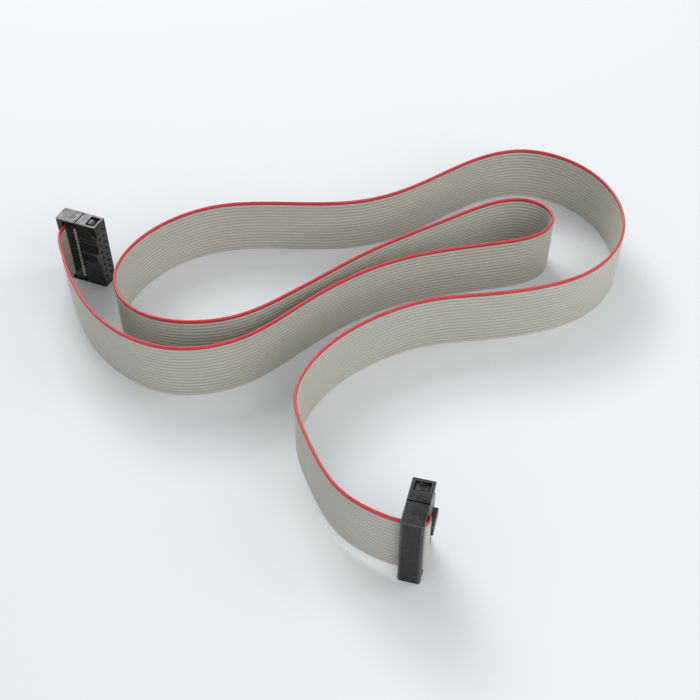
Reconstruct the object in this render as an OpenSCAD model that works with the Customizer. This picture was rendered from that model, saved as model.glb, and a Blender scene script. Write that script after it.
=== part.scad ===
// Flat ribbon cable, 16 wires on a 1.27 mm pitch with one red edge wire, with a two-row pin socket
// pressed on each end. It stands on its lower edge, folded into two loops. Millimetres, Z up.

/* [Ribbon] */
// Spacing of neighbouring wires
wire_pitch = 1.27; // [1.2:0.01:1.4]
// Thickness over one insulated wire
wire_d = 0.9; // [0.8:0.05:1.1]
// Thickness of the web that joins two wires
web_t = 0.4; // [0.25:0.05:0.6]
// Length of the lay on a table
lay_l = 186; // [160:1:260]
// Width of the lay on a table
lay_w = 167; // [140:1:230]

/* [Sockets] */
// Thickness of a socket across its two rows
socket_t = 6.1; // [5.9:0.1:6.8]
// Plastic past the outermost pins at each end
end_l = 3.56; // [3.3:0.02:4.5]
// Housing, from the mating face to the ribbon
housing_h = 7.4; // [7:0.1:9]
// Thickness of the cover that presses the ribbon down
cover_h = 3.1; // [2.6:0.1:4]
// Thickness of the strain relief bar
relief_h = 2.4; // [1.8:0.1:3.2]
// Thickness of the strain relief's cheeks
cheek_t = 0.85; // [0.6:0.05:1]
// Width of the polarising key
key_w = 3.9; // [3:0.1:4.4]
// Height of the key above the side wall
key_out = 1.2; // [0.8:0.1:1.5]
// Rim left at the mating end of the latch window
rim_t = 0.8; // [0.6:0.1:1.2]
// Length of the latch window
window_l = 3.1; // [2.6:0.1:3.6]
// Width of the latch arms
arm_w = 4; // [3:0.1:4.6]
// Thickness of the latch arms
arm_t = 0.8; // [0.6:0.05:0.9]
// Width of the grooves beside the key
groove_w = 0.44; // [0.3:0.02:0.6]
// Depth of the grooves beside the key
groove_t = 0.3; // [0.2:0.05:0.5]
// Radius of the snap ridges that hold the strain relief
snap_r = 0.35; // [0.25:0.05:0.45]

/* [Contacts] */
// Side of the square pin that the sockets take
pin_w = 0.64; // [0.6:0.01:0.7]
// Thickness of the contact sheet
sheet_t = 0.3; // [0.2:0.02:0.35]
// Slot of the fork that grips a wire
fork_slot = 0.38; // [0.3:0.01:0.45]
// Insulation left between the fork of one wire and that of the next
bridge = 0.13; // [0.08:0.01:0.2]
// Length of the tines inside the cover
tip_out = 0.75; // [0.5:0.05:1]
// Width of one spring beam beside the pin
beam_w = 0.45; // [0.35:0.05:0.5]

/* [Fits] */
// Gap between sliding plastic faces
slide_gap = 0.05; // [0.02:0.01:0.1]
// Gap between the cover's round nose and the fold of the ribbon
fold_gap = 0.02; // [0.01:0.01:0.1]
// Gap round a contact
sheet_gap = 0.02; // [0.01:0.01:0.04]

/* [Hidden] */
ways = 16;
pin_pitch = 2 * wire_pitch;
cols = ways / 2;
ribbon_w = (ways - 1) * wire_pitch + wire_d;
socket_l = (cols - 1) * pin_pitch + 2 * end_l;
mid = socket_l / 2;
cover_y = housing_h + wire_d;
relief_y = cover_y + cover_h + wire_d;
socket_h = relief_y + relief_h;
tail_y = housing_h + wire_d / 2;
lead_y = relief_y - wire_d / 2;
bevel = 0.2 * relief_h;
fold_r = (lead_y - tail_y) / 2;
fold_x = socket_t / 2 - cover_h / 2;
fold_step = 30;
nose_r = cover_h / 2 * cos(fold_step / 2) - fold_gap;
lift = mid - ribbon_w / 2;
channel_w = arm_w + 4 * slide_gap;
channel_t = arm_t + 2 * slide_gap;
fork_y = housing_h - sheet_t;
base_y = fork_y - 5 * sheet_t;
beam_y = 1.75 * rim_t;
arm_y = 1.6 * rim_t;
hook_z = 0.35 * cheek_t;
tip_y = cover_y + tip_out;
tip_l = 0.4 * tip_out;
fork_w = wire_pitch - bridge;
tine_w = (fork_w - fork_slot) / 2;
beam_out = pin_w / 2 + beam_w;
shoulder = 0.2 * sheet_t;
$fn = 48;

// The route and the sockets' places were drawn for a lay of 186 by 167
function laid(p) = [p[0] * lay_l / 186, p[1] * lay_w / 167];
// Place and turn of each socket: x, y of its mating face, and the heading of its width
seat_a = concat(laid([66, -51]), 165);
seat_b = concat(laid([-33, 52]), 68);
// Side on which the ribbon leaves each socket
side_a = 1;
side_b = -1;
// Route of the free ribbon from one socket to the other, chosen by eye
route = [
    [45, -54], [39, -43], [35, -32], [31, -20], [34, -8], [41, 3], [50, 11], [61, 18], [74, 23],
    [89, 24], [106, 27], [122, 33], [134, 46], [139, 63], [136, 81], [126, 95], [109, 103], [91, 96],
    [75, 83], [60, 73], [44, 69], [24, 70], [5, 70], [-10, 63], [-21, 52], [-27, 38], [-25, 24],
    [-15, 14], [0, 11], [15, 14], [27, 23], [39, 33], [52, 44], [66, 53], [81, 62], [92, 69], [103, 73],
    [112, 70], [116, 61], [109, 52], [96, 49], [80, 46], [65, 42], [51, 35], [38, 25], [27, 14], [18, 6],
    [7, 1], [-7, 0], [-21, 6], [-32, 17], [-39, 30], [-43, 40]
];
lead = 10 * web_t;
climb = 6;
turn_step = 38;

function spin(v, a) = [v[0] * cos(a) - v[1] * sin(a), v[0] * sin(a) + v[1] * cos(a)];
function out(seat, x, y) = [seat[0], seat[1]] + spin([x, y], seat[2]);
function exit_of(seat, side) = out(seat, side * socket_t / 2, lead_y);
function ahead(seat, side, d) = exit_of(seat, side) + spin([side * d, 0], seat[2]);

// Control points of a cubic B-spline, straight where it enters each socket
ctrl = concat(
    [for (d = [-lead, 0, lead]) ahead(seat_a, side_a, d)],
    [for (p = route) laid(p)],
    [for (d = [lead, 0, -lead]) ahead(seat_b, side_b, d)]
);
spans = len(ctrl) - 3;
function blend(i, t) = (pow(1 - t, 3) * ctrl[i] + (3 * pow(t, 3) - 6 * t * t + 4) * ctrl[i + 1]
    + (-3 * pow(t, 3) + 3 * t * t + 3 * t + 1) * ctrl[i + 2] + pow(t, 3) * ctrl[i + 3]) / 6;
function slope(i, t) = (-pow(1 - t, 2) * ctrl[i] + (3 * t * t - 4 * t) * ctrl[i + 1]
    + (-3 * t * t + 2 * t + 1) * ctrl[i + 2] + t * t * ctrl[i + 3]) / 2;
function heading(v) = atan2(v[1], v[0]);
function bend(a, b) = abs((b - a + 540) % 360 - 180);
function steps(i) = max(1, ceil(bend(heading(slope(i, 0)), heading(slope(i, 1))) / turn_step));
// Height of the lower edge: the ribbon climbs to the middle of a socket over the last few points
function ramp(u) = u >= 1 ? 0 : u <= 0 ? 1 : 1 - u * u * (3 - 2 * u);
function rise(s) = lift * (ramp((s - 1) / climb) + ramp((spans - s - 1) / climb));
free = [
    for (i = [0:spans - 1]) for (k = [0:steps(i) - 1])
        let (t = k / steps(i), p = blend(i, t)) [p[0], p[1], rise(i + t), heading(slope(i, t))]
];
// The end that is folded into a socket, from its cut edge to the fold's far side
function folded(seat, side) = [
    let (p = out(seat, side * socket_t / 2, tail_y)) [p[0], p[1], lift, seat[2] + 90 + side * 90],
    for (t = [0:fold_step:180]) let (a = -90 - side * t,
        p = out(seat, fold_r * cos(a) - side * fold_x, fold_r * sin(a) + tail_y + fold_r))
        [p[0], p[1], lift, seat[2] + 90 + side * (90 - t)]
];
back = folded(seat_b, side_b);
stations = concat(
    folded(seat_a, side_a),
    free,
    [let (p = exit_of(seat_b, side_b)) [p[0], p[1], lift, seat_b[2] + 90 - side_b * 90]],
    [for (k = [len(back) - 1:-1:0]) [back[k][0], back[k][1], back[k][2], back[k][3] + 180]]
);

// Middle of the whole lay in plan
marks = concat(
    [for (s = stations) for (n = [-1, 1]) [s[0], s[1]] + spin([0, n * wire_d / 2], s[3])],
    [for (seat = [seat_a, seat_b]) for (x = [-1, 1])
        for (c = [[socket_t / 2, 0], [socket_t / 2, socket_h - bevel], [socket_t / 2 - bevel, socket_h]])
            out(seat, x * c[0], c[1])]
);
centre = [for (k = [0, 1]) let (v = [for (m = marks) m[k]]) (min(v) + max(v)) / 2];

// Outline of wire k, counted from the floor, with half of the web on each side of it
function wire_z(k) = wire_d / 2 + k * wire_pitch;
function web_lo(k) = k == 0 ? 0 : wire_z(k) - wire_pitch / 2;
function web_hi(k) = k == ways - 1 ? ribbon_w : wire_z(k) + wire_pitch / 2;
function outline(k) = [
    [web_t / 2, web_lo(k)], [wire_d / 2, wire_z(k)], [web_t / 2, web_hi(k)],
    [-web_t / 2, web_hi(k)], [-wire_d / 2, wire_z(k)], [-web_t / 2, web_lo(k)]
];

module sweep(ring) {
    n = len(ring);
    m = len(stations);
    polyhedron(
        points = [for (s = stations) for (q = ring)
            let (v = spin([0, q[0]], s[3])) [s[0] + v[0], s[1] + v[1], s[2] + q[1]]],
        faces = concat(
            [[for (k = [0:n - 1]) k]],
            [for (i = [0:m - 2]) for (k = [0:n - 1]) let (a = i * n + k, b = i * n + (k + 1) % n)
                each k < n - 1 ? [[a, a + n, b], [b, a + n, b + n]] : [[a, a + n, b + n], [a, b + n, b]]],
            [[for (k = [n - 1:-1:0]) (m - 1) * n + k]]
        ),
        convexity = 10
    );
}

// Socket frame: X across the thickness, Y from the mating face to the back, Z along the pin rows
module seated(seat) {
    translate([seat[0] - centre[0], seat[1] - centre[1], 0]) rotate([0, 0, seat[2]]) children();
}
module turned(side) {
    translate([0, 0, mid]) rotate([0, side > 0 ? 0 : 180, 0]) translate([0, 0, -mid]) children();
}
module slab(x, y, z) {
    translate([x[0], y[0], z[0]]) cube([x[1] - x[0], y[1] - y[0], z[1] - z[0]]);
}
module both_ends() {
    children();
    translate([0, 0, socket_l]) mirror([0, 0, 1]) children();
}

// Wire k counts from the floor; its fork is in one of the two rows
function fork_z(k) = lift + wire_z(k);
function row_x(k) = (k % 2 == 0 ? 1 : -1) * pin_pitch / 2;
function pin_z(k) = mid + (floor(k / 2) - (cols - 1) / 2) * pin_pitch;
function base_lo(k) = min(fork_z(k) - fork_w / 2, pin_z(k) - beam_out) - shoulder;
function base_hi(k) = max(fork_z(k) + fork_w / 2, pin_z(k) + beam_out) + shoulder;

// Slits that the two tines of its fork cut into wire k
module slits(k) {
    for (e = [-1, 1]) translate([row_x(k), tail_y, fork_z(k) + e * (fork_slot + tine_w) / 2])
        cube([sheet_t + 2 * sheet_gap, 3 * wire_d, tine_w + 2 * sheet_gap], center = true);
}

module wire(k) color(k == ways - 1 ? [0.78, 0.16, 0.2] : [0.66, 0.66, 0.62]) difference() {
    translate([-centre[0], -centre[1], 0]) sweep(outline(k));
    seated(seat_a) slits(k);
    seated(seat_b) slits(k);
}

module socket_housing(seat) color([0.12, 0.12, 0.13]) seated(seat) difference() {
    union() {
        slab([-socket_t / 2, socket_t / 2], [0, housing_h], [0, socket_l]);
        slab([-socket_t / 2 - key_out, 0], [0, housing_h - 1.25 * rim_t],
             [mid - key_w / 2, mid + key_w / 2]);
    }
    for (k = [0:ways - 1]) {
        translate([row_x(k), 0, pin_z(k)]) rotate([-90, 0, 0]) rotate([0, 0, 45])
            translate([0, 0, -rim_t / 8])
                cylinder(d1 = 2.2 * pin_w * sqrt(2), d2 = 1.3 * pin_w * sqrt(2), h = rim_t, $fn = 4);
        slab([row_x(k) - 0.65 * pin_w, row_x(k) + 0.65 * pin_w], [-1, beam_y],
             [pin_z(k) - 0.65 * pin_w, pin_z(k) + 0.65 * pin_w]);
        slab([row_x(k) - 0.86 * pin_w, row_x(k) + 0.86 * pin_w], [beam_y - rim_t / 4, base_y],
             [pin_z(k) - beam_out - 2 * slide_gap, pin_z(k) + beam_out + 2 * slide_gap]);
        slab([row_x(k) - sheet_t / 2 - sheet_gap, row_x(k) + sheet_t / 2 + sheet_gap],
             [base_y, housing_h + 1], [base_lo(k) - sheet_gap, base_hi(k) + sheet_gap]);
    }
    both_ends() {
        slab([-channel_w / 2, channel_w / 2], [rim_t, housing_h + 1], [cheek_t, cheek_t + channel_t]);
        slab([-channel_w / 2, channel_w / 2], [rim_t, rim_t + window_l], [-1, cheek_t + channel_t]);
        translate([-socket_t / 2, 0, 0.8 * end_l]) rotate([0, 90, 0])
            cylinder(d = end_l, h = 1.2 * cheek_t, center = true);
        for (e = [-1, 1]) translate([0, 0, (mid + e * wire_pitch) / 2])
            slab([-socket_t, -socket_t / 2 + groove_t], [-1, housing_h + 1],
                 [-groove_w / 2, groove_w / 2]);
    }
    for (c = [0:cols - 1]) let (z = pin_z(2 * c))
        slab([socket_t / 2 - rim_t, socket_t], [beam_y, housing_h - 1.5 * rim_t],
             [z - 0.7 * pin_w, z + 0.7 * pin_w]);
}

module socket_cover(seat, side) color([0.14, 0.14, 0.15]) seated(seat) turned(side) {
    difference() {
        translate([0, 0, cheek_t + slide_gap]) linear_extrude(socket_l - 2 * (cheek_t + slide_gap)) {
            translate([-fold_x, cover_y]) square([socket_t / 2 + fold_x, cover_h]);
            translate([-fold_x, cover_y + cover_h / 2]) circle(r = nose_r);
        }
        turned(side) for (k = [0:ways - 1])
            slab([row_x(k) - sheet_t / 2 - slide_gap, row_x(k) + sheet_t / 2 + slide_gap],
                 [cover_y - 1, tip_y + 2 * slide_gap],
                 [fork_z(k) - fork_w / 2 - slide_gap, fork_z(k) + fork_w / 2 + slide_gap]);
        both_ends() translate([0, cover_y + cover_h / 2, cheek_t]) rotate([0, 90, 0])
            cylinder(r = snap_r + slide_gap, h = arm_w, center = true);
    }
    both_ends() {
        slab([-arm_w / 2, arm_w / 2], [arm_y, cover_y],
             [cheek_t + slide_gap, cheek_t + slide_gap + arm_t]);
        translate([-arm_w * 0.3, 0, 0]) rotate([90, 0, 90]) linear_extrude(arm_w * 0.6) polygon([
            [arm_y, cheek_t + slide_gap], [rim_t + window_l - slide_gap, cheek_t + slide_gap],
            [rim_t + window_l - slide_gap, hook_z], [rim_t + 0.55 * window_l, hook_z]
        ]);
    }
}

module relief_outline(y) {
    polygon([
        [-socket_t / 2, y], [socket_t / 2, y],
        [socket_t / 2, socket_h - bevel], [socket_t / 2 - bevel, socket_h],
        [bevel - socket_t / 2, socket_h], [-socket_t / 2, socket_h - bevel]
    ]);
}
module strain_relief(seat, side) color([0.16, 0.16, 0.17]) seated(seat) turned(side) {
    linear_extrude(socket_l) relief_outline(relief_y);
    both_ends() {
        linear_extrude(cheek_t) relief_outline(housing_h);
        translate([0, cover_y + cover_h / 2, cheek_t]) rotate([0, 90, 0])
            cylinder(r = snap_r, h = 0.9 * arm_w, center = true);
    }
}

// Contact of wire k, stamped from sheet: a fork for the wire, two spring beams for the pin
function tine(k, e) = let (z = fork_z(k), i = e * fork_slot / 2, o = e * fork_w / 2) [
    [fork_y, z + i], [tip_y - tip_l, z + i], [tip_y, z + i + e * tine_w / 4],
    [tip_y, z + o - e * tine_w / 5], [tip_y - tip_l, z + o], [fork_y, z + o]
];
function beam(k, e) = let (i = pin_z(k) + e * pin_w / 2, o = i + e * beam_w) [
    [base_y, o], [beam_y, o], [beam_y, i], [base_y, i]
];
function reversed(v) = [for (n = [len(v) - 1:-1:0]) v[n]];
module contact(seat, k) color([0.83, 0.72, 0.45]) seated(seat)
    translate([row_x(k) - sheet_t / 2, 0, 0]) rotate([90, 0, 90]) linear_extrude(sheet_t)
        polygon(concat(
            [[base_y, base_lo(k)], [fork_y, base_lo(k)]], reversed(tine(k, -1)), tine(k, 1),
            [[fork_y, base_hi(k)], [base_y, base_hi(k)]], beam(k, 1), reversed(beam(k, -1))
        ));

// Wires and their contacts are numbered from the red wire, which is uppermost
ENDS = ["a", "b"];
function seat_of(e) = e == "a" ? seat_a : seat_b;
function side_of(e) = e == "a" ? side_a : side_b;

for (w = [1:ways])
    wire(ways - w);
for (e = ENDS) {
    socket_housing(seat_of(e));
    socket_cover(seat_of(e), side_of(e));
    strain_relief(seat_of(e), side_of(e));
    for (w = [1:ways])
        contact(seat_of(e), ways - w);
}
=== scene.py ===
"""Looks of the ribbon cable: view and light, the soft ribbon, and the finish of its sockets."""

import math
from functools import partial

import bmesh
import bpy
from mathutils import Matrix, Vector
from mathutils.bvhtree import BVHTree
from mathutils.geometry import intersect_point_line


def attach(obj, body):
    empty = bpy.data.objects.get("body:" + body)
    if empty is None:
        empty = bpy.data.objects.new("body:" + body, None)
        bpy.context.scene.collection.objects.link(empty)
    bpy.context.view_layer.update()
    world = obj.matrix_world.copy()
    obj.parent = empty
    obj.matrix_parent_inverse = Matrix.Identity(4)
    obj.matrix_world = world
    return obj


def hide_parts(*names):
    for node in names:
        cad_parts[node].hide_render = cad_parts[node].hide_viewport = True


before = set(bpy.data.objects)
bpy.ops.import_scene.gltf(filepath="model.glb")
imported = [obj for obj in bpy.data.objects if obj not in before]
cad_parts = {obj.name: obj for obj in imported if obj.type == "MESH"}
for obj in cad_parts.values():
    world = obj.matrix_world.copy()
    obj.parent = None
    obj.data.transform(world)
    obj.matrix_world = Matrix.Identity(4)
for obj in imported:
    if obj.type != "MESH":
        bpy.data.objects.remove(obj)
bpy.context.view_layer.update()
scene = bpy.context.scene

# Sizes of the ribbon and its sockets in millimetres, as in the part's source
MM = 0.001
WAYS = 16
PITCH = 1.27
WIRE_D = 0.9
WEB_T = 0.4
RIBBON_W = (WAYS - 1) * PITCH + WIRE_D
SOCKET_T = 6.1
SOCKET_L = 24.9
PIN_PITCH = 2 * PITCH
PIN_COLUMNS = WAYS // 2
LIFT = (SOCKET_L - RIBBON_W) / 2

# Places of the ribbon in a socket: pierced tail, fold round the cover's nose, and way out
TAIL_Y = 7.85
LEAD_Y = 11.85
FOLD_R = (LEAD_Y - TAIL_Y) / 2
FOLD_X = 1.5

# Each socket's x, y and turn in degrees, and the side on which the ribbon leaves it
SEATS = {"a": ((66, -51, 165), 1), "b": ((-33, 52, 68), -1)}

# Route of the ribbon from socket a to socket b
ROUTE = [
    (45, -54), (39, -43), (35, -32), (31, -20), (34, -8), (41, 3), (50, 11), (61, 18), (74, 23),
    (89, 24), (106, 27), (122, 33), (134, 46), (139, 63), (136, 81), (126, 95), (109, 103), (91, 96),
    (75, 83), (60, 73), (44, 69), (24, 70), (5, 70), (-10, 63), (-21, 52), (-27, 38), (-25, 24),
    (-15, 14), (0, 11), (15, 14), (27, 23), (39, 33), (52, 44), (66, 53), (81, 62), (92, 69), (103, 73),
    (112, 70), (116, 61), (109, 52), (96, 49), (80, 46), (65, 42), (51, 35), (38, 25), (27, 14), (18, 6),
    (7, 1), (-7, 0), (-21, 6), (-32, 17), (-39, 30), (-43, 40),
]
# Where the frame's origin lies on the route's own grid
CENTRE = (45.2618, 17.5429)
# Straight run on both sides of a socket's wall
LEAD = 4
# Spans of the route over which the ribbon rises from the table to a socket
CLIMB = 6

# How finely the path is divided: degrees in a fold and in a bend, and millimetres along
FOLD_STEP = 6
BEND_STEP = 2.6
RUN_STEP = 4
FEWEST_STEPS = 4
# Points on the straight ends of a fold, in from the wall and out from the middle of the socket
TAIL_STOPS = (0.0, 1.5, 3.0)
LEAD_STOPS = (0.0, 1.5)

# View in metres
VIEW_HEIGHT = math.radians(45)
VIEW_DISTANCE = 0.322
VIEW_AIM = Vector((0.002, -0.004, 0.006))
VIEW_LENS = 54
VIEW_NEAR = 0.01
# Each lamp's place, size, power and colour
LAMPS = {
    "key softbox": ((-0.35, 0.80, 0.83), (0.80, 0.60), 5.4, (1, 1, 1)),
    "back window": ((-0.30, 0.80, 0.62), (0.36, 0.24), 2.1, (1, 1, 1)),
    "front fill": ((0.35, -0.55, 0.45), (0.60, 0.50), 2.2, (1.0, 0.98, 0.95)),
    "right strip": ((0.75, 0.10, 0.60), (0.30, 0.60), 1.2, (0.95, 0.98, 1.0)),
}


def add(name, data):
    """A new object in the scene."""
    o = bpy.data.objects.new(name, data)
    scene.collection.objects.link(o)
    return o


def camera():
    """A view from the photograph's side and height."""
    cam = add("camera", bpy.data.cameras.new("camera"))
    cam.location = VIEW_AIM + Vector((0, -math.cos(VIEW_HEIGHT), math.sin(VIEW_HEIGHT))) * VIEW_DISTANCE
    cam.rotation_euler = (math.pi / 2 - VIEW_HEIGHT, 0, 0)
    cam.data.lens = VIEW_LENS
    cam.data.clip_start = VIEW_NEAR
    scene.camera = cam


def lamps():
    """Broad soft light from behind, filled in from the front and the right."""
    for name, (at, size, power, colour) in LAMPS.items():
        lamp = bpy.data.lights.new(name, "AREA")
        lamp.shape = "RECTANGLE"
        lamp.size, lamp.size_y = size
        lamp.energy = power
        lamp.color = colour
        o = add(name, lamp)
        o.location = at
        o.rotation_euler = (-Vector(at)).to_track_quat("-Z", "Y").to_euler()


def place(seat, x, y):
    """A point of a socket's own frame, in millimetres in the row frame."""
    a = math.radians(seat[2])
    return Vector((seat[0] + x * math.cos(a) - y * math.sin(a) - CENTRE[0],
                   seat[1] + x * math.sin(a) + y * math.cos(a) - CENTRE[1]))


def route_points():
    """Points along the ribbon from one cut end to the other: x, y and lower edge in millimetres."""
    def ahead(seat, side, d):
        return place(seat, side * (SOCKET_T / 2 + d), LEAD_Y)

    ctrl = [ahead(*SEATS["a"], d) for d in (-LEAD, 0, LEAD)]
    ctrl += [Vector((x - CENTRE[0], y - CENTRE[1])) for x, y in ROUTE]
    ctrl += [ahead(*SEATS["b"], d) for d in (LEAD, 0, -LEAD)]
    spans = len(ctrl) - 3

    def ramp(u):
        u = min(1.0, max(0.0, u))
        return 1 - u * u * (3 - 2 * u)

    def at(i, t):
        a, b, c, d = ctrl[i:i + 4]
        p = ((1 - t) ** 3 * a + (3 * t ** 3 - 6 * t * t + 4) * b
             + (-3 * t ** 3 + 3 * t * t + 3 * t + 1) * c + t ** 3 * d) / 6
        z = LIFT * (ramp((i + t - 1) / CLIMB) + ramp((spans - i - t - 1) / CLIMB))
        return (p.x, p.y, z)

    def slope(i, t):
        a, b, c, d = ctrl[i:i + 4]
        return (-(1 - t) ** 2 * a + (3 * t * t - 4 * t) * b + (-3 * t * t + 2 * t + 1) * c + t * t * d) / 2

    def folded(seat, side):
        out = [place(seat, side * (SOCKET_T / 2 - s), TAIL_Y) for s in TAIL_STOPS]
        for k in range(0, 180 + FOLD_STEP, FOLD_STEP):
            a = math.radians(-90 - side * k)
            out.append(place(seat, FOLD_R * math.cos(a) - side * FOLD_X,
                             FOLD_R * math.sin(a) + TAIL_Y + FOLD_R))
        out += [place(seat, side * s, LEAD_Y) for s in LEAD_STOPS]
        return [(p.x, p.y, LIFT) for p in out]

    line = folded(*SEATS["a"])
    for i in range(spans):
        bend = math.degrees(slope(i, 0).angle(slope(i, 1)))
        run = slope(i, 0.5).length
        n = max(FEWEST_STEPS, math.ceil(bend / BEND_STEP), math.ceil(run / RUN_STEP))
        line += [at(i, k / n) for k in range(n)]
    line.append(at(spans - 1, 1.0))
    line += folded(*SEATS["b"])[::-1]
    return line


camera()
lamps()
scene.view_settings.view_transform = "Standard"
LINE = route_points()


def new_group(name, ins, outs, kind="ShaderNodeTree"):
    """A node group with the sockets named, and what its input node gives."""
    tree = bpy.data.node_groups.new(name, kind)
    for socket, label, value in ins:
        s = tree.interface.new_socket(label, in_out="INPUT", socket_type=socket)
        if value is not None:
            s.default_value = value
    for socket, label in outs:
        tree.interface.new_socket(label, in_out="OUTPUT", socket_type=socket)
    return tree, tree.nodes.new("NodeGroupInput").outputs


def node(tree, kind, inputs=None, **settings):
    """One node; an input is a constant, or a socket to link from."""
    n = tree.nodes.new(kind)
    for key, value in settings.items():
        setattr(n, key, value)
    for key, value in (inputs or {}).items():
        if isinstance(value, bpy.types.NodeSocket):
            tree.links.new(value, n.inputs[key])
        else:
            n.inputs[key].default_value = value
    return n


def made(tree, kind, inputs=None, **settings):
    """The first output of a new node."""
    return node(tree, kind, inputs, **settings).outputs[0]


def calc(tree, operation, *values):
    """One step of arithmetic on constants and sockets."""
    return made(tree, "ShaderNodeMath", dict(enumerate(values)), operation=operation)


def finished(o):
    """The mesh of an object with its modifiers carried out."""
    bpy.context.view_layer.update()
    deps = bpy.context.evaluated_depsgraph_get()
    return bpy.data.meshes.new_from_object(o.evaluated_get(deps), depsgraph=deps)


def through_nodes(name, source, tree, **inputs):
    """A plain object of what a node tree makes of a source object, which it takes the place of."""
    mod = source.modifiers.new("nodes", "NODES")
    mod.node_group = tree
    for item in tree.interface.items_tree:
        if item.in_out == "INPUT" and item.name in inputs:
            mod[item.identifier] = inputs[item.name]
    mesh = finished(source)
    mesh.name = name
    source.modifiers.remove(mod)
    bpy.data.objects.remove(source)
    return add(name, mesh)


# Outline of the ribbon
WIRE_POINTS = 5
# Share by which the ribbon's two edges are drawn in
EDGE_DRAW = 0.35
# Wires from the top down to the web where the marked wire starts
MARK_START = 1.6
# Falls between two points of the outline
HALF_STEP = 0.5


def ribbed_ribbon():
    """Sweeps the ribbed outline of the wires along a path and sets the marked wire apart."""
    tree, g = new_group("ribbed ribbon", (
        ("NodeSocketGeometry", "Path", None),
        ("NodeSocketInt", "Wires", WAYS),
        ("NodeSocketInt", "Points a wire", WIRE_POINTS),
        ("NodeSocketFloat", "Pitch", PITCH * MM),
        ("NodeSocketFloat", "Wire diameter", WIRE_D * MM),
        ("NodeSocketFloat", "Web", WEB_T * MM),
        ("NodeSocketMaterial", "Ribbon material", None),
        ("NodeSocketMaterial", "Marked material", None),
    ), (("NodeSocketGeometry", "Ribbon"),), "GeometryNodeTree")
    tree.is_modifier = True
    plus, minus, times, over, above, below, larger, whole, root = (partial(calc, tree, name) for name in (
        "ADD", "SUBTRACT", "MULTIPLY", "DIVIDE", "GREATER_THAN", "LESS_THAN", "MAXIMUM", "FLOOR", "SQRT"))

    def stored(geometry, name, value):
        return made(tree, "GeometryNodeStoreNamedAttribute",
                    {"Geometry": geometry, "Name": name, "Value": value}, data_type="FLOAT", domain="POINT")

    # The points of a circle run up one face of the ribbon and down the other
    points = times(g["Wires"], g["Points a wire"])
    circle = made(tree, "GeometryNodeCurvePrimitiveCircle", {"Resolution": times(points, 2)}, mode="RADIUS")
    index = made(tree, "GeometryNodeInputIndex")
    far = above(index, minus(points, HALF_STEP))
    back = minus(minus(times(points, 2), 1), index)
    step = plus(times(index, minus(1, far)), times(back, far))
    face = minus(times(far, 2), 1)
    wire = whole(over(step, g["Points a wire"]))
    within = minus(step, times(wire, g["Points a wire"]))

    # Height of a point on its own wire, and on the ribbon, where the first and last lie on its edges
    radius = over(g["Wire diameter"], 2)
    off = minus(within, over(minus(g["Points a wire"], 1), 2))
    up = times(off, over(g["Pitch"], g["Points a wire"]))
    lowest = below(step, HALF_STEP)
    highest = above(step, minus(points, 1 + HALF_STEP))
    edge = plus(lowest, highest)
    middle = minus(1, edge)
    rise = plus(times(up, middle), times(radius, minus(highest, lowest)))
    height = plus(plus(times(wire, g["Pitch"]), radius), rise)

    # Half thickness at a point: round on the wire, flat on the web, drawn in at the edges
    half_web = over(g["Web"], 2)
    half = larger(root(larger(minus(times(radius, radius), times(up, up)), 0.0)), half_web)
    out = times(half, minus(1, times(edge, EDGE_DRAW)))
    # How deep a point lies between two wires, 0 on a crest and 1 on the web; the ribbon's material paints
    # shade with it
    groove = times(over(minus(radius, half), minus(radius, half_web)), middle)
    spot = made(tree, "ShaderNodeCombineXYZ", {"X": times(out, face), "Y": times(height, -1)})
    profile = made(tree, "GeometryNodeSetPosition", {"Geometry": circle, "Position": spot})
    profile = stored(stored(profile, "wire", wire), "groove", groove)

    upright = made(tree, "GeometryNodeSetCurveNormal", {"Curve": g["Path"]}, mode="Z_UP")
    path = stored(upright, "along", node(tree, "GeometryNodeSplineParameter").outputs["Length"])
    swept = made(tree, "GeometryNodeCurveToMesh",
                 {"Curve": path, "Profile Curve": profile, "Fill Caps": True})
    smooth = made(tree, "GeometryNodeSetShadeSmooth", {"Geometry": swept, "Shade Smooth": True})
    real = made(tree, "GeometryNodeRealizeInstances", {"Geometry": smooth})
    grey = made(tree, "GeometryNodeSetMaterial", {"Geometry": real, "Material": g["Ribbon material"]})
    here = made(tree, "GeometryNodeInputNamedAttribute", {"Name": "wire"}, data_type="FLOAT")
    marked = made(tree, "FunctionNodeCompare", {0: here, 1: minus(g["Wires"], MARK_START)},
                  data_type="FLOAT", operation="GREATER_THAN")
    red = made(tree, "GeometryNodeSetMaterial",
               {"Geometry": grey, "Selection": marked, "Material": g["Marked material"]})
    node(tree, "NodeGroupOutput", {"Ribbon": red})
    return tree


def ribbon_path():
    """The line of the ribbon's lower edge, as a curve."""
    curve = bpy.data.curves.new("ribbon path", "CURVE")
    curve.dimensions = "3D"
    spline = curve.splines.new("POLY")
    spline.points.add(len(LINE) - 1)
    for p, (x, y, z) in zip(spline.points, LINE):
        p.co = (x * MM, y * MM, z * MM, 1)
    return add("ribbon path", curve)


# What a finish takes and gives
TONE = ("NodeSocketColor", "Tone", (0.5, 0.5, 0.5, 1))
DULLNESS = ("NodeSocketFloat", "Dullness", 0.4)
GRAIN = ("NodeSocketFloat", "Grain", 0.2)
TINT_AND_ROUGHNESS = (("NodeSocketColor", "Colour"), ("NodeSocketFloat", "Roughness"))
TINT_ROUGHNESS_SKIN = (*TINT_AND_ROUGHNESS, ("NodeSocketVector", "Normal"))

# Ranges in which most of one noise, and most of the sum of two, lies
NOISE_SPAN = (0.3, 0.7)
TWO_NOISE_SPAN = (0.6, 1.4)

# Streaks, painted shade in the grooves, and skin of the ribbon
STREAK_RATE = 14.0
GROOVE_PAINTED_SHADE = 0.74
PVC_SKIN = 0.06
PVC_SKIN_DEPTH = 0.04 * MM

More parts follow.
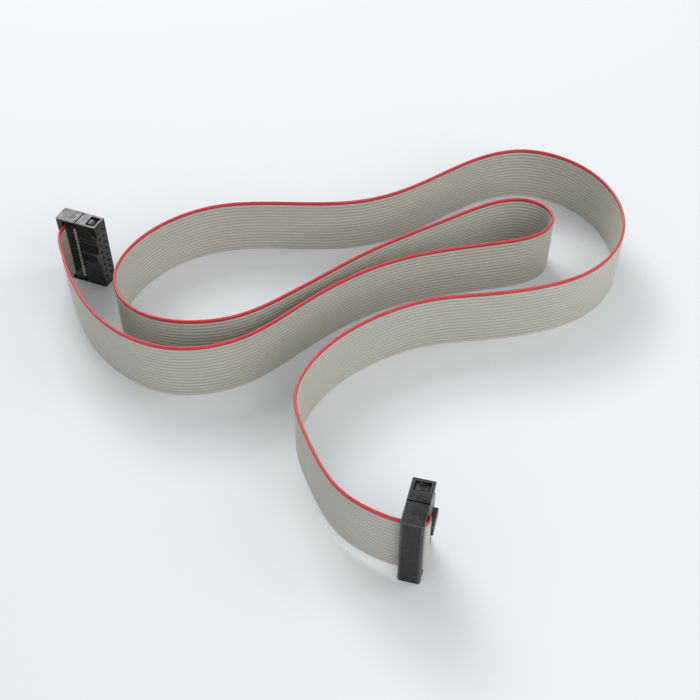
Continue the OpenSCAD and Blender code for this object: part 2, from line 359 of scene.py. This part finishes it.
# Dust and grain of the mouldings
DUST_SPAN = (0.66, 0.74)
DUST_TONE = (0.22, 0.22, 0.21, 1)
DUST_MOST = 0.22
GRAIN_DEPTH = 0.03 * MM


def where(tree):
    """Places on a piece, in its own frame."""
    return node(tree, "ShaderNodeTexCoord").outputs["Object"]


def noise(tree, at, scale, detail, roughness=0.5):
    """A soft pattern."""
    return node(tree, "ShaderNodeTexNoise", {"Vector": at, "Scale": scale, "Detail": detail,
                                             "Roughness": roughness}).outputs["Fac"]


def spread(tree, value, source, target):
    """A value carried over from one range to another."""
    return made(tree, "ShaderNodeMapRange", {"Value": value, "From Min": source[0], "From Max": source[1],
                                             "To Min": target[0], "To Max": target[1]})


def drift(tree, middle, pattern, low, high):
    """A value that goes below and above its middle with a pattern."""
    return calc(tree, "ADD", spread(tree, pattern, NOISE_SPAN, (low, high)), middle)


def shaded(tree, tone, value):
    """A tone made darker or lighter."""
    return made(tree, "ShaderNodeHueSaturation", {"Color": tone, "Value": value})


def bump(tree, height, strength, depth):
    """Normals of a fine unevenness."""
    return made(tree, "ShaderNodeBump", {"Strength": strength, "Distance": depth, "Height": height})


def soft_pvc():
    """Soft PVC: faint streaks along each wire, slow drift of tone, painted shade in the grooves and a fine
    skin.
    """
    tree, g = new_group("soft pvc", (TONE, DULLNESS), TINT_ROUGHNESS_SKIN)
    spots = where(tree)
    along, wire, groove = (node(tree, "ShaderNodeAttribute", attribute_name=name).outputs["Fac"]
                           for name in ("along", "wire", "groove"))
    streak_at = made(tree, "ShaderNodeCombineXYZ",
                     {"X": calc(tree, "MULTIPLY", along, STREAK_RATE), "Y": wire})
    streak = noise(tree, streak_at, scale=1.7, detail=3.0)
    patch = noise(tree, spots, scale=22.0, detail=2.0)
    skin = noise(tree, spots, scale=2600.0, detail=2.0)
    uneven = spread(tree, calc(tree, "ADD", streak, patch), TWO_NOISE_SPAN, (0.96, 1.04))
    # Painted shade: the colour is darkened towards the web between the wires, where shade falls
    shade_painted_in_grooves = spread(tree, groove, (0.0, 1.0), (1.0, GROOVE_PAINTED_SHADE))
    node(tree, "NodeGroupOutput", {
        "Colour": shaded(tree, g["Tone"], calc(tree, "MULTIPLY", uneven, shade_painted_in_grooves)),
        "Roughness": drift(tree, g["Dullness"], streak, -0.06, 0.06),
        "Normal": bump(tree, skin, PVC_SKIN, PVC_SKIN_DEPTH),
    })
    return tree


def moulded_plastic():
    """Black moulding: a spark-eroded grain, slow drift of tone and gloss, and a little dust."""
    tree, g = new_group("moulded plastic", (TONE, DULLNESS, GRAIN), TINT_ROUGHNESS_SKIN)
    spots = where(tree)
    grain = noise(tree, spots, scale=5200.0, detail=3.0)
    flow = noise(tree, spots, scale=420.0, detail=4.0, roughness=0.6)
    dust = noise(tree, spots, scale=1500.0, detail=4.0)
    specks = spread(tree, dust, DUST_SPAN, (0.0, DUST_MOST))
    body = shaded(tree, g["Tone"], spread(tree, flow, NOISE_SPAN, (0.6, 1.7)))
    dusty = node(tree, "ShaderNodeMix", {0: specks, 6: body, 7: DUST_TONE}, data_type="RGBA")
    node(tree, "NodeGroupOutput", {
        "Colour": dusty.outputs[2],
        "Roughness": drift(tree, g["Dullness"], flow, -0.16, 0.16),
        "Normal": bump(tree, grain, g["Grain"], GRAIN_DEPTH),
    })
    return tree


def stamped_metal():
    """Stamped metal: patchy plating."""
    tree, g = new_group("stamped metal", (TONE, DULLNESS), TINT_AND_ROUGHNESS)
    patch = noise(tree, where(tree), scale=900.0, detail=3.0)
    node(tree, "NodeGroupOutput", {
        "Colour": shaded(tree, g["Tone"], spread(tree, patch, NOISE_SPAN, (0.8, 1.12))),
        "Roughness": drift(tree, g["Dullness"], patch, -0.06, 0.1),
    })
    return tree


def material(name, finish, tone, dullness, grain=None, **shader_values):
    """A material that gives one of the finishes its own tone, dullness and grain."""
    mat = bpy.data.materials.new(name)
    mat.use_nodes = True
    tree = mat.node_tree
    shader = tree.nodes["Principled BSDF"]
    look = node(tree, "ShaderNodeGroup", node_tree=finish)
    look.inputs["Tone"].default_value = (*tone, 1)
    look.inputs["Dullness"].default_value = dullness
    if grain is not None:
        look.inputs["Grain"].default_value = grain
    for result, socket in (("Colour", "Base Color"), ("Roughness", "Roughness"), ("Normal", "Normal")):
        if result in look.outputs:
            tree.links.new(look.outputs[result], shader.inputs[socket])
    for key, value in shader_values.items():
        shader.inputs[key].default_value = value
    return mat


pvc, moulded, metal = soft_pvc(), moulded_plastic(), stamped_metal()
SOFT = {"Subsurface Weight": 0.12, "Subsurface Radius": (1.0, 0.8, 0.6), "Subsurface Scale": 0.3 * MM}
DULL = {"Specular IOR Level": 0.3}
DULLEST = {"Specular IOR Level": 0.05}
grey_pvc = material("grey pvc", pvc, (0.545, 0.533, 0.470), 0.38, **SOFT)
red_pvc = material("red pvc", pvc, (0.60, 0.031, 0.047), 0.36, **SOFT)
# Painted highlight: a paler tone for the eased edges, where light would catch them
edge_highlight_paint = material("painted edge highlight", moulded, (0.045, 0.048, 0.048), 0.30, grain=0.1)
# Painted shade: a near-black, unreflecting tone for eased faces where one piece meets another
seam_shade_paint = material("painted seam shade", moulded, (0.002, 0.002, 0.002), 0.75, grain=0.1, **DULLEST)
housing_black = material("housing black", moulded, (0.010, 0.011, 0.0115), 0.30, grain=0.2, **DULL)
cover_black = material("cover black", moulded, (0.012, 0.0125, 0.013), 0.28, grain=0.15, **DULL)
relief_black = material("strain relief black", moulded, (0.011, 0.012, 0.0125), 0.29, grain=0.15, **DULL)
contact_metal = material("contact metal", metal, (0.83, 0.68, 0.38), 0.28, Metallic=1.0)
copper = material("copper", metal, (0.80, 0.38, 0.22), 0.32, Metallic=1.0)

ribbon = through_nodes("ribbon", ribbon_path(), ribbed_ribbon(),
                       **{"Ribbon material": grey_pvc, "Marked material": red_pvc})
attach(ribbon, "root")
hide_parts(*[f"wire_{k}" for k in range(1, WAYS + 1)])

# Easing of the mouldings' edges
EASE = 0.22 * MM
SHARP = math.radians(40)
FLAT = math.radians(1)
# How near another piece an eased face lies to take the painted seam shade
SEAM_REACH = 0.26 * MM
# An edge has the full ease where its room is this many times as wide
FULL_ROOM = 2.3
# An edge stays sharp where it could have no more than this share of the ease
LEAST_SHARE = 0.2
# Material slots of the eased edges: painted highlight on a free edge, painted shade along a seam
FREE_EDGE, SEAM_EDGE = 1, 2

# Cosines between edges that run on in one line, and that close to a sliver
IN_LINE = -0.98
SLIVER = 0.85

# Distances in metres below which points are one, and lie on a cut
SAME_POINT = 2e-6
CUT_SNAP = 1e-6
ON_CUT = 2e-6


def seams_near(cad_nodes):
    """A search tree of the pieces that a moulding meets."""
    corners, faces = [], []
    for cad_node in cad_nodes:
        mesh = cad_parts[cad_node].data
        start = len(corners)
        corners += [v.co.copy() for v in mesh.vertices]
        faces += [[start + v for v in f.vertices] for f in mesh.polygons]
    return BVHTree.FromPolygons(corners, faces)


def apart(point, start, end):
    """Distance from a point to a straight edge."""
    near, share = intersect_point_line(point, start, end)
    return (point - (start if share < 0 else end if share > 1 else near)).length


def edge_room(edge):
    """How far an edge may be eased before it would meet another edge."""
    a, b = (v.co for v in edge.verts)
    room = (b - a).length
    for v in edge.verts:
        way = (edge.other_vert(v).co - v.co).normalized()
        for other in v.link_edges:
            aside = other.other_vert(v).co - v.co
            lean = way.dot(aside.normalized())
            if other is edge or lean < IN_LINE:
                continue
            if lean > SLIVER and other.calc_face_angle() < SHARP:
                return 0.0
            room = min(room, way.cross(aside).length)
    for face in edge.link_faces:
        for other in face.edges:
            if not set(other.verts) & set(edge.verts):
                c, d = (v.co for v in other.verts)
                room = min(room, apart(a, c, d), apart(b, c, d), apart(c, a, b), apart(d, a, b))
    return room


def clear_faces(bm, seat):
    """Joins the triangles of each flat face, divided only by cuts through the middle of its holes."""
    turn, middle = math.radians(seat[2]), place(seat, 0, 0) * MM
    cuts = [(Vector((middle.x, middle.y, 0)), Vector((math.cos(turn), math.sin(turn), 0)))]
    for k in range(PIN_COLUMNS):
        pin_z = SOCKET_L / 2 + (k - (PIN_COLUMNS - 1) / 2) * PIN_PITCH
        cuts.append((Vector((0, 0, pin_z * MM)), Vector((0, 0, 1))))
    for at, across in cuts:
        bmesh.ops.bisect_plane(bm, geom=bm.verts[:] + bm.edges[:] + bm.faces[:],
                               plane_co=at, plane_no=across, dist=CUT_SNAP)

    def on_a_cut(edge):
        return any(all(abs((v.co - at).dot(across)) < ON_CUT for v in edge.verts) for at, across in cuts)

    joined = [e for e in bm.edges if e.is_manifold and e.calc_face_angle() < FLAT and not on_a_cut(e)]
    bmesh.ops.dissolve_edges(bm, edges=joined, use_verts=True)


def weighed(cad_node, seat):
    """A copy of a moulded CAD piece's mesh, in which each edge says how far it is to be eased."""
    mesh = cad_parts[cad_node].data.copy()
    bm = bmesh.new()
    bm.from_mesh(mesh)
    bmesh.ops.remove_doubles(bm, verts=bm.verts, dist=SAME_POINT)
    clear_faces(bm, seat)
    weight = bm.edges.layers.float.new("bevel_weight_edge")
    for edge in bm.edges:
        if edge.is_manifold and edge.is_convex and edge.calc_face_angle() > SHARP:
            share = edge_room(edge) / (FULL_ROOM * EASE)
            edge[weight] = min(1.0, share) if share > LEAST_SHARE else 0.0
    bm.to_mesh(mesh)
    bm.free()
    return mesh


def eased_moulding(cad_node, name, mat, neighbours, seat):
    """A moulded CAD piece with its edges eased: a painted highlight where they are free, painted shade along
    a seam.
    """
    mesh = weighed(cad_node, seat)
    mesh.materials.clear()
    for look in (mat, edge_highlight_paint, seam_shade_paint):
        mesh.materials.append(look)
    mesh.shade_smooth()
    o = add(name, mesh)
    ease = o.modifiers.new("eased edges", "BEVEL")
    ease.width = EASE
    ease.segments = 2
    ease.material = FREE_EDGE
    ease.limit_method = "WEIGHT"
    ease.use_clamp_overlap = False
    flat = o.modifiers.new("flat faces", "WEIGHTED_NORMAL")
    flat.mode = "FACE_AREA"
    flat.weight = 100
    eased = finished(o)
    o.modifiers.clear()
    o.data = eased
    others = seams_near(neighbours)
    # Painted shade on the eased faces that lie against another piece
    for face in eased.polygons:
        if face.material_index == FREE_EDGE and others.find_nearest(face.center, SEAM_REACH)[0] is not None:
            face.material_index = SEAM_EDGE
    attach(o, "root")
    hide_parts(cad_node)
    return o


MOULDINGS = {
    "socket_housing": ("housing", housing_black),
    "socket_cover": ("cover", cover_black),
    "strain_relief": ("relief", relief_black),
}
for end, (seat, _) in SEATS.items():
    for part, (name, mat) in MOULDINGS.items():
        neighbours = [f"{other}_{end}" for other in MOULDINGS if other != part]
        eased_moulding(f"{part}_{end}", f"{name}_{end}", mat, neighbours, seat)
    for k in range(1, WAYS + 1):
        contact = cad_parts[f"contact_{end}_{k}"]
        contact.data.materials.clear()
        contact.data.materials.append(contact_metal)

# Bare strands of a wire in millimetres, one with six round it
STRAND_R = 0.062
STRAND_SIDES = 10
STRANDS_ROUND = 6
STRAND_LENGTH = 0.08
# How far the middle of a strand's short length lies beyond the cut
STRAND_OUT = 0.005


def strand_ends():
    """Puts a bundle of seven bare strands on each point, turned by the point's own heading."""
    tree, g = new_group("strand ends", (
        ("NodeSocketGeometry", "Points", None),
        ("NodeSocketFloat", "Strand radius", STRAND_R * MM),
        ("NodeSocketMaterial", "Material", None),
    ), (("NodeSocketGeometry", "Strands"),), "GeometryNodeTree")
    tree.is_modifier = True
    strand_d = calc(tree, "MULTIPLY", g["Strand radius"], 2.0)
    ring = made(tree, "GeometryNodeMeshCircle", {"Vertices": STRANDS_ROUND, "Radius": strand_d},
                fill_type="NONE")
    core = made(tree, "GeometryNodeMeshLine", {"Count": 1})
    seats = node(tree, "GeometryNodeJoinGeometry")
    tree.links.new(ring, seats.inputs[0])
    tree.links.new(core, seats.inputs[0])
    strand = node(tree, "GeometryNodeMeshCylinder", {"Vertices": STRAND_SIDES, "Radius": g["Strand radius"],
                                                     "Depth": STRAND_LENGTH * MM}).outputs["Mesh"]
    bundle = made(tree, "GeometryNodeInstanceOnPoints", {"Points": seats.outputs[0], "Instance": strand})
    solid = made(tree, "GeometryNodeRealizeInstances", {"Geometry": bundle})
    heading = made(tree, "GeometryNodeInputNamedAttribute", {"Name": "heading"}, data_type="FLOAT")
    turn = made(tree, "ShaderNodeCombineXYZ", {"X": math.pi / 2, "Z": heading})
    placed = made(tree, "GeometryNodeInstanceOnPoints",
                  {"Points": g["Points"], "Instance": solid, "Rotation": turn})
    real = made(tree, "GeometryNodeRealizeInstances", {"Geometry": placed})
    coated = made(tree, "GeometryNodeSetMaterial", {"Geometry": real, "Material": g["Material"]})
    node(tree, "NodeGroupOutput", {"Strands": coated})
    return tree


def cut_ends(seat, side):
    """One point on the cut face of each wire, with the heading of the cut."""
    p = place(seat, side * (SOCKET_T / 2 + STRAND_OUT), TAIL_Y)
    heights = [LIFT + WIRE_D / 2 + k * PITCH for k in range(WAYS)]
    mesh = bpy.data.meshes.new("cut ends")
    mesh.from_pydata([(p.x * MM, p.y * MM, z * MM) for z in heights], [], [])
    headings = [math.radians(seat[2] + 90)] * WAYS
    mesh.attributes.new("heading", "FLOAT", "POINT").data.foreach_set("value", headings)
    return add("cut ends", mesh)


bundles = strand_ends()
strands = {}
for end, (seat, side) in SEATS.items():
    strands[end] = through_nodes(f"copper_strand_ends_{end}", cut_ends(seat, side), bundles, Material=copper)
    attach(strands[end], "root")

# Floor and backdrop, and the distances over which one runs out into the other
BACKDROP = (0.87, 0.905, 0.93, 1)
SKY, SKY_LEVEL = (0.95, 0.975, 1.0, 1), 0.5
FLOOR_TONE = (0.80, 0.825, 0.84, 1)
FLOOR_DULLNESS = 0.6
FLOOR_REACH = 4
FADE_FROM, FADE_TO = 0.16, 0.60


def seen_directly(tree):
    """1 for a ray that shows the background itself, 0 for a ray that only carries light."""
    path = node(tree, "ShaderNodeLightPath").outputs
    either = calc(tree, "MAXIMUM", path["Is Camera Ray"], path["Is Glossy Ray"])
    return calc(tree, "MAXIMUM", either, path["Is Transmission Ray"])


def pale_sky():
    """A sky that lights the cable at a plain level and shows as the backdrop."""
    world = bpy.data.worlds.new("studio")
    scene.world = world
    world.use_nodes = True
    tree = world.node_tree
    light = tree.nodes["Background"]
    light.inputs["Color"].default_value = SKY
    light.inputs["Strength"].default_value = SKY_LEVEL
    shown = made(tree, "ShaderNodeBackground", {"Color": BACKDROP, "Strength": 1.0})
    both = made(tree, "ShaderNodeMixShader", {0: seen_directly(tree), 1: light.outputs[0], 2: shown})
    tree.links.new(both, tree.nodes["World Output"].inputs["Surface"])


def pale_floor():
    """The floor's material, lit and shaded near the cable and running out into the backdrop."""
    mat = bpy.data.materials.new("pale floor")
    mat.use_nodes = True
    tree = mat.node_tree
    shader = tree.nodes["Principled BSDF"]
    shader.inputs["Base Color"].default_value = FLOOR_TONE
    shader.inputs["Roughness"].default_value = FLOOR_DULLNESS
    shader.inputs["Specular IOR Level"].default_value = 0.0
    reach = node(tree, "ShaderNodeVectorMath", {0: where(tree)}, operation="LENGTH").outputs["Value"]
    fade = made(tree, "ShaderNodeMapRange", {"Value": reach, "From Min": FADE_FROM, "From Max": FADE_TO},
                interpolation_type="SMOOTHSTEP")
    shown = calc(tree, "MULTIPLY", fade, seen_directly(tree))
    glow = made(tree, "ShaderNodeEmission", {"Color": BACKDROP, "Strength": 1.0})
    both = made(tree, "ShaderNodeMixShader", {0: shown, 1: shader.outputs[0], 2: glow})
    tree.links.new(both, tree.nodes["Material Output"].inputs["Surface"])
    return mat


def table_top():
    """A broad flat floor under the cable."""
    mesh = bpy.data.meshes.new("floor")
    corners = [(x * FLOOR_REACH, y * FLOOR_REACH, 0) for x, y in ((-1, -1), (1, -1), (1, 1), (-1, 1))]
    mesh.from_pydata(corners, [], [(0, 1, 2, 3)])
    mesh.materials.append(pale_floor())
    o = add("floor", mesh)


pale_sky()
table_top()
